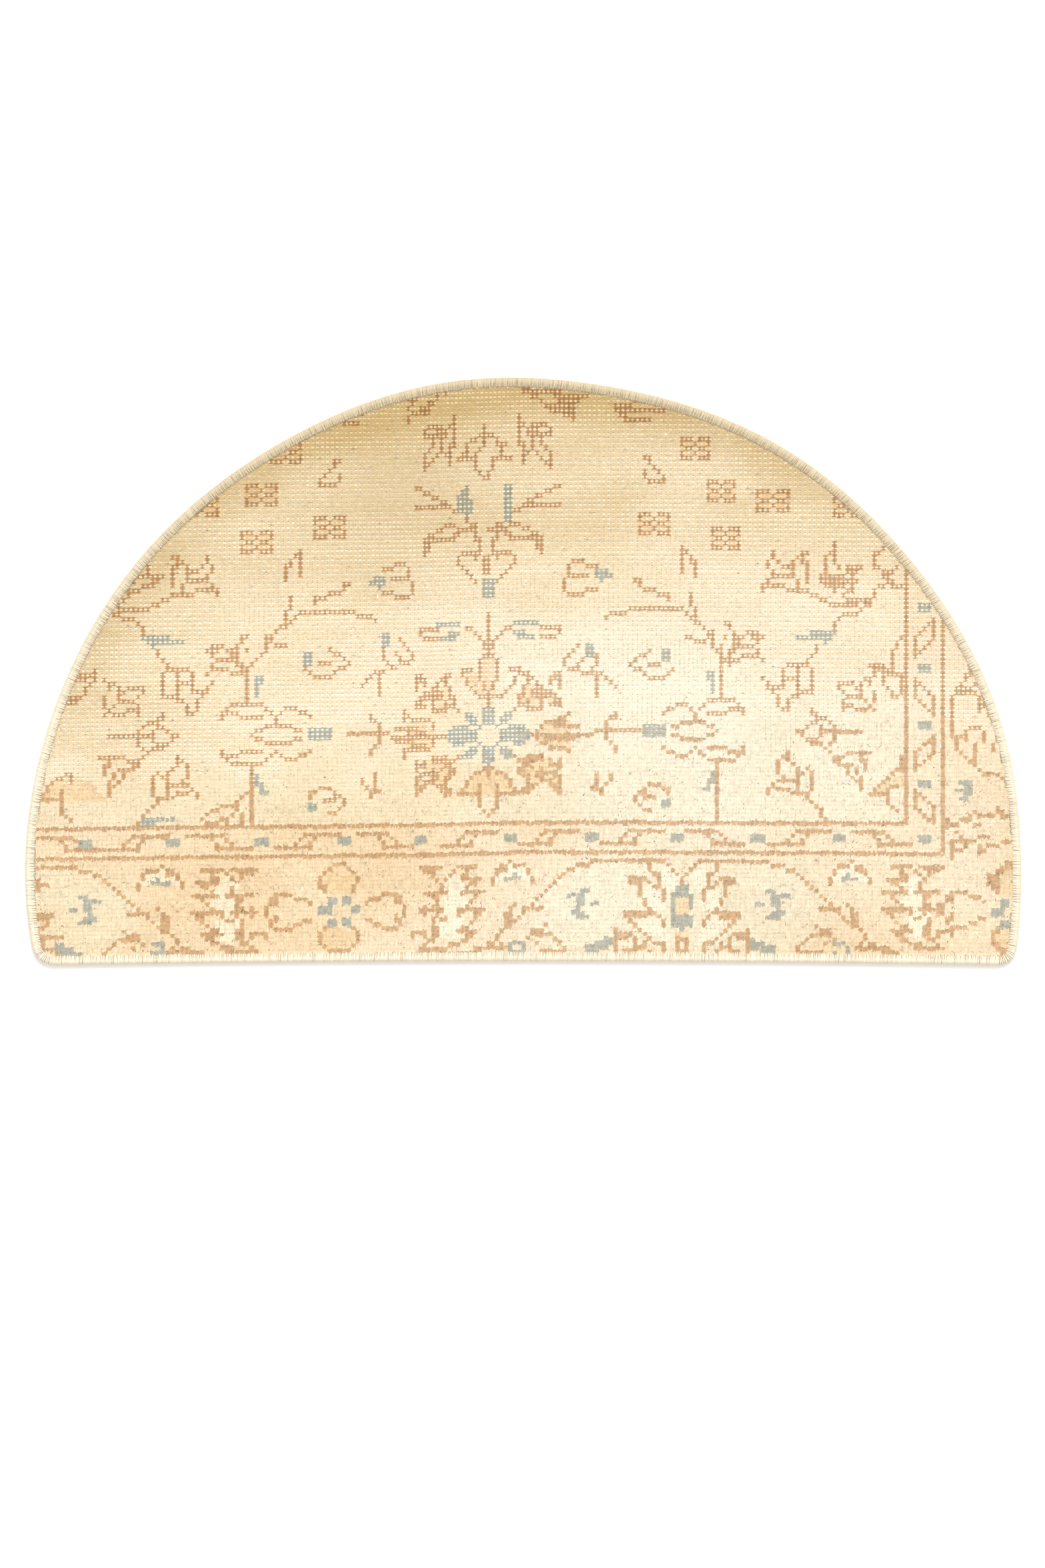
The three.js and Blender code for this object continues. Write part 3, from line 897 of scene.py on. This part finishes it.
def tufts(chosen, spread, seed):
    """The points of both fans of every chosen knot, and their shades."""
    random = np.random.default_rng(seed)
    x, y, full = knot_x[chosen], knot_y[chosen], fullness[chosen]
    half_wide = spread * np.interp(x, KNOT_WIDTH["at"], KNOT_WIDTH["is"]) / 2
    half_high = np.interp(y, KNOT_HEIGHT["at"], KNOT_HEIGHT["is"]) / 2
    crown = between(FAN_TOP, full)
    lean, stray = between(LEAN, full), between(STRAY, full)
    points, shades = [], []
    for way, fan in ((1, UPPER_FAN), (-1, LOWER_FAN)):
        ring = np.concatenate([between(fan, full), crown[:, None]], axis=1)
        height = between(PILE_HEIGHT, full) * random.normal(1, 0.1, len(x))
        up = np.array([*FAN_RISE, 1.0]) * height[:, None]
        px = x[:, None] + ring[..., 0] * half_wide[:, None]
        py = y[:, None] + way * ring[..., 1] * half_high[:, None] - up / LEAN_HEIGHT * lean[:, None]
        px = px + random.normal(0, 1, px.shape) * stray[:, None]
        py = py + random.normal(0, 1, py.shape) * stray[:, None]
        pz = PILE_ROOT + up
        points.append(np.stack([px, py, pz], axis=-1))
        shades.append(np.repeat(random.normal(0, 0.5, (len(x), 1)), FAN_POINTS, axis=1))
    return np.stack(points, axis=1).reshape(-1, 3), np.stack(shades, axis=1).ravel()


def fan_faces(mirrored):
    """The seven triangles of a fan, from its rim to its crown."""
    crown = FAN_POINTS - 1
    ring = [(i, (i + 1) % crown, crown) for i in range(crown)]
    return [(b, a, c) for a, b, c in ring] if mirrored else ring


# %% Tie all the knots, one piece for each wool
lower_fan = [tuple(point + FAN_POINTS for point in face) for face in fan_faces(mirrored=True)]
knot_faces = fan_faces(mirrored=False) + lower_fan
for number, (name, material) in enumerate(WOOLS.items()):
    chosen = tied & (chart == number)
    count = int(chosen.sum())
    points, shades = tufts(chosen, SPREAD[name], seed=10 + number)
    faces = copies(count, 2 * FAN_POINTS, knot_faces)
    values = {key: np.repeat(numbers[chosen], 2 * FAN_POINTS) for key, numbers in age.items()}
    values["shade"] = shades
    crowns = np.tile(np.arange(FAN_POINTS) == FAN_POINTS - 1, 2 * count)
    values["rim"] = np.where(crowns, FADED_CROWN * values["full"], 1.0)
    tuft_piece = piece(f"pile_{name}", points, faces, material, values)


# %% [markdown]
# ## Bare warps and the underside
#
# Where a knot has fallen out, the white cotton warp shows as a small upright speck. On the
# underside each knot shows as one flat bump of its wool, so the pattern can be read there too.

# %% White specks of bare warp
WALKED_ON = {"x": (-300, 430), "y": (-280, 110)}
SPECKS = 130
SPECK_HEIGHT = {"rim": 4.3, "top": 4.9}
OFF_THE_EDGE = 12  # no speck lies nearer to it


def warp_specks():
    """Small upright ovals, scattered where the rug has been walked on most."""
    random = np.random.default_rng(50)
    x, y = random.uniform(*WALKED_ON["x"], SPECKS), random.uniform(*WALKED_ON["y"], SPECKS)
    kept = distance_inside(x, y) > OFF_THE_EDGE
    x, y = x[kept], y[kept]
    oval = np.array([(0, -1), (0.7, -0.5), (0.7, 0.5), (0, 1), (-0.7, 0.5), (-0.7, -0.5)])
    wide, long = random.uniform(0.5, 1.1, len(x)), random.uniform(1.2, 2.8, len(x))
    px = x[:, None] + oval[:, 0] * wide[:, None]
    py = y[:, None] + oval[:, 1] * long[:, None]
    rim = np.stack([px, py, np.full(px.shape, SPECK_HEIGHT["rim"])], axis=-1)
    top = np.stack([x, y, np.full(len(x), SPECK_HEIGHT["top"])], axis=-1)[:, None]
    points = np.concatenate([rim, top], axis=1).reshape(-1, 3)
    return points, copies(len(x), 7, [(i, (i + 1) % 6, 6) for i in range(6)])


specks = piece("bare_warps", *warp_specks(), COTTON)

# %% The backs of the knots, one piece for each wool
# Across and along, in shares of half a knot, and the height above the floor
BACK = [(-0.9, -0.8, 0.55), (0.9, -0.8, 0.55), (0.9, 0.8, 0.55), (-0.9, 0.8, 0.55), (0, 0, 0.15)]
HALF_KNOT = (2.2, 2.1)
for number, (name, material) in enumerate(WOOLS.items()):
    chosen = tied & (chart == number)
    points = np.array([(HALF_KNOT[0] * dx, HALF_KNOT[1] * dy, up) for dx, dy, up in BACK])
    points = points + np.stack([knot_x[chosen], knot_y[chosen], 0 * knot_x[chosen]], axis=-1)[:, None]
    faces = copies(int(chosen.sum()), 5, [(1, 0, 4), (2, 1, 4), (3, 2, 4), (0, 3, 4)])
    back = piece(f"back_{name}", points.reshape(-1, 3), faces, material, below=True)


# %% [markdown]
# ## The overcast edge
#
# The cut edge would fray, so cream yarn is sewn over it all the way round. Each turn starts on
# the pile, goes over the edge and comes back underneath. It is made as real turns: the section
# of one turn is drawn once, and a copy stands at every stitch round the rim.

# %% Points round the rim, evenly spaced
EDGE_WIDTH = 8.3
STITCH_APART = 1.4


def spaced_round(outline, apart):
    """Places this far apart round a closed outline, with the way along and the way in."""
    closed = np.vstack([outline, outline[:1]])
    lengths = np.r_[0, np.cumsum(np.hypot(*np.diff(closed, axis=0).T))]
    at = np.linspace(0, lengths[-1], int(lengths[-1] / apart), endpoint=False)
    place = np.column_stack([np.interp(at, lengths, closed[:, i]) for i in (0, 1)])
    along = np.roll(place, -3, axis=0) - np.roll(place, 3, axis=0)
    along /= np.hypot(*along.T)[:, None]
    return place, along, np.column_stack([-along[:, 1], along[:, 0]])


place, along, inward = spaced_round(cut_edge, STITCH_APART)
print(len(place), "stitches round the edge")

# %% One turn of the overcasting yarn, from the pile over the rim to the underside
# Distance in from the rim, height, half width along the rim
TURN = [
    (9.3, 3.4, 0.35), (7.6, 5.0, 0.6), (5.4, 5.3, 0.75), (3.8, 6.1, 0.9), (1.9, 6.2, 0.95), (0.6, 5.1, 0.9),
    (0.1, 3.3, 0.9), (0.7, 1.3, 0.9), (2.4, 0.6, 0.8), (6.4, 0.6, 0.7), (9.0, 0.9, 0.4),
]
PAINTED_RIM_SHADE = [0.2, 0.0, 0.1, 0.0, 0.3, 0.9, 1.0, 1.0, 1.0, 1.0, 1.0]  # how much painted tan shade each point gets, most on the outer wall and underside
YARN_THICK = 0.55
ON_THE_PILE = 7  # a turn's points that lie further in than this start raggedly on the pile


def edge_turns():
    """The points of every turn: a flattened tube of four sides along the section."""
    random = np.random.default_rng(41)
    count = len(place)
    section = np.array(TURN)
    n = len(section)
    wide = 1 + 0.16 * random.normal(0, 1, count)
    slant = 0.5 + 0.25 * random.normal(0, 1, (count, 1))
    slip = 0.15 * random.normal(0, 1, (count, 1)) + slant * section[:, 0] / 9
    inner = random.normal(0, 0.35, (count, 1)) * (section[:, 0] > ON_THE_PILE)
    distance = EDGE_WIDTH - section[:, 0] - inner
    half = section[:, 2] * wide[:, None]
    turn_in = np.gradient(section[:, 0])
    turn_up = np.gradient(section[:, 1])
    thick = YARN_THICK / np.hypot(turn_in, turn_up)
    sides = []
    for across, away in [(-1, 0), (0, -1), (1, 0), (0, 1)]:
        sideways = (slip + across * half)[..., None] * along[:, None]
        outwards = (distance + away * thick * turn_up)[..., None] * inward[:, None]
        up = np.broadcast_to(section[:, 1] + away * thick * turn_in, half.shape)[..., None]
        sides.append(np.concatenate([place[:, None] + sideways - outwards, up], axis=-1))
    points = np.stack(sides, axis=2).reshape(-1, 3)
    quads = [(4 * i + j, 4 * i + (j + 1) % 4, 4 * i + 4 + (j + 1) % 4, 4 * i + 4 + j)
             for i in range(n - 1) for j in range(4)]
    quads += [(3, 2, 1, 0), (4 * n - 4, 4 * n - 3, 4 * n - 2, 4 * n - 1)]
    soil = 0.05 + 0.5 * ramp(place[:, 1], -120, 250)
    values = {
        "shade": np.repeat(random.normal(0, 0.6, count), 4 * n),
        "soil": np.repeat(soil, 4 * n),
        # rim: painted tan shade on the outer wall and underside of the turn
        "rim": np.tile(np.repeat(PAINTED_RIM_SHADE, 4), count),
    }
    return points, copies(count, 4 * n, quads), values


points, faces, values = edge_turns()
turns = piece("overcast_turns", points, faces, EDGING, values)
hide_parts("overcast_edging")

# %% The edge of the cloth inside the turns
# Distance in from the rim, and height
CORE = [(9.0, 2.2), (8.0, 3.9), (5.4, 4.6), (3.6, 5.3), (1.9, 5.5), (0.9, 3.3), (2.0, 1.1), (8.0, 1.1)]
CORE_STEP = 3  # stitches from one section to the next


def edge_core():
    """A closed roll under the turns, with one section every few stitches."""
    at, inwards = place[::CORE_STEP], inward[::CORE_STEP]
    ring = np.array([at - inwards * (EDGE_WIDTH - across) for across, _ in CORE])
    ring = ring.transpose(1, 0, 2)
    high = np.broadcast_to(np.array([up for _, up in CORE]), ring.shape[:2])
    points = np.concatenate([ring, high[..., None]], axis=-1)
    n, k = points.shape[:2]
    quads = [(i * k + j, (i + 1) % n * k + j, (i + 1) % n * k + (j + 1) % k, i * k + (j + 1) % k)
             for i in range(n) for j in range(k)]
    return points.reshape(-1, 3), quads


core = piece("edge_core", *edge_core(), EDGE_CLOTH)

# %% [markdown]
# ## The studio
#
# The photograph was taken from straight above a white floor in soft light. A wide pale floor,
# a bright even sky and one soft lamp give the same look.

# %% Floor
FLOOR_HALF = 6  # metres
FLOOR_HEIGHT = -0.0005  # just under the rug
floor_mesh = bpy.data.meshes.new("floor")
corner_signs = [(-1, -1), (1, -1), (1, 1), (-1, 1)]
floor_corners = [(FLOOR_HALF * x, FLOOR_HALF * y, FLOOR_HEIGHT) for x, y in corner_signs]
floor_mesh.from_pydata(floor_corners, [], [(0, 1, 2, 3)])
floor = bpy.data.objects.new("floor", floor_mesh)
bpy.context.scene.collection.objects.link(floor)
floor_paint = bpy.data.materials.new("pale_floor")
floor_paint.use_nodes = True
floor_shader = floor_paint.node_tree.nodes["Principled BSDF"]
floor_shader.inputs["Base Color"].default_value = (0.95, 0.95, 0.95, 1)
floor_shader.inputs["Roughness"].default_value = 0.9
floor_mesh.materials.append(floor_paint)
print("floor", 2 * FLOOR_HALF, "metres wide")

# %% Light
world = bpy.data.worlds.new("soft_sky")
bpy.context.scene.world = world
world.use_nodes = True
sky = world.node_tree.nodes["Background"]
sky.inputs["Color"].default_value = (1.0, 0.995, 0.985, 1)
sky.inputs["Strength"].default_value = 0.92
sun_data = bpy.data.lights.new("soft_lamp", "SUN")
sun_data.energy = 1.4
sun_data.angle = 0.5
sun = bpy.data.objects.new("soft_lamp", sun_data)
sun.rotation_euler = (-0.75, 0.2, 0)
bpy.context.scene.collection.objects.link(sun)
print("sky", sky.inputs["Strength"].default_value, "and lamp", sun_data.energy)

# %% Camera
PHOTO_HEIGHT = 2352  # pixels
MM_A_PIXEL = 0.670
PHOTO_MIDDLE = (-0.9, -113.2)  # where the middle of the photograph lies on the rug, mm
LENS = 85
SENSOR = 36
camera_data = bpy.data.cameras.new("camera")
camera_data.lens, camera_data.sensor_width = LENS, SENSOR
camera = bpy.data.objects.new("camera", camera_data)
bpy.context.scene.collection.objects.link(camera)
view_height = PHOTO_HEIGHT * MM_A_PIXEL * MM
camera.location = (PHOTO_MIDDLE[0] * MM, PHOTO_MIDDLE[1] * MM, view_height * LENS / SENSOR)
bpy.context.scene.camera = camera
bpy.context.scene.view_settings.view_transform = "Standard"
print("camera", round(camera.location.z, 2), "metres above the floor")
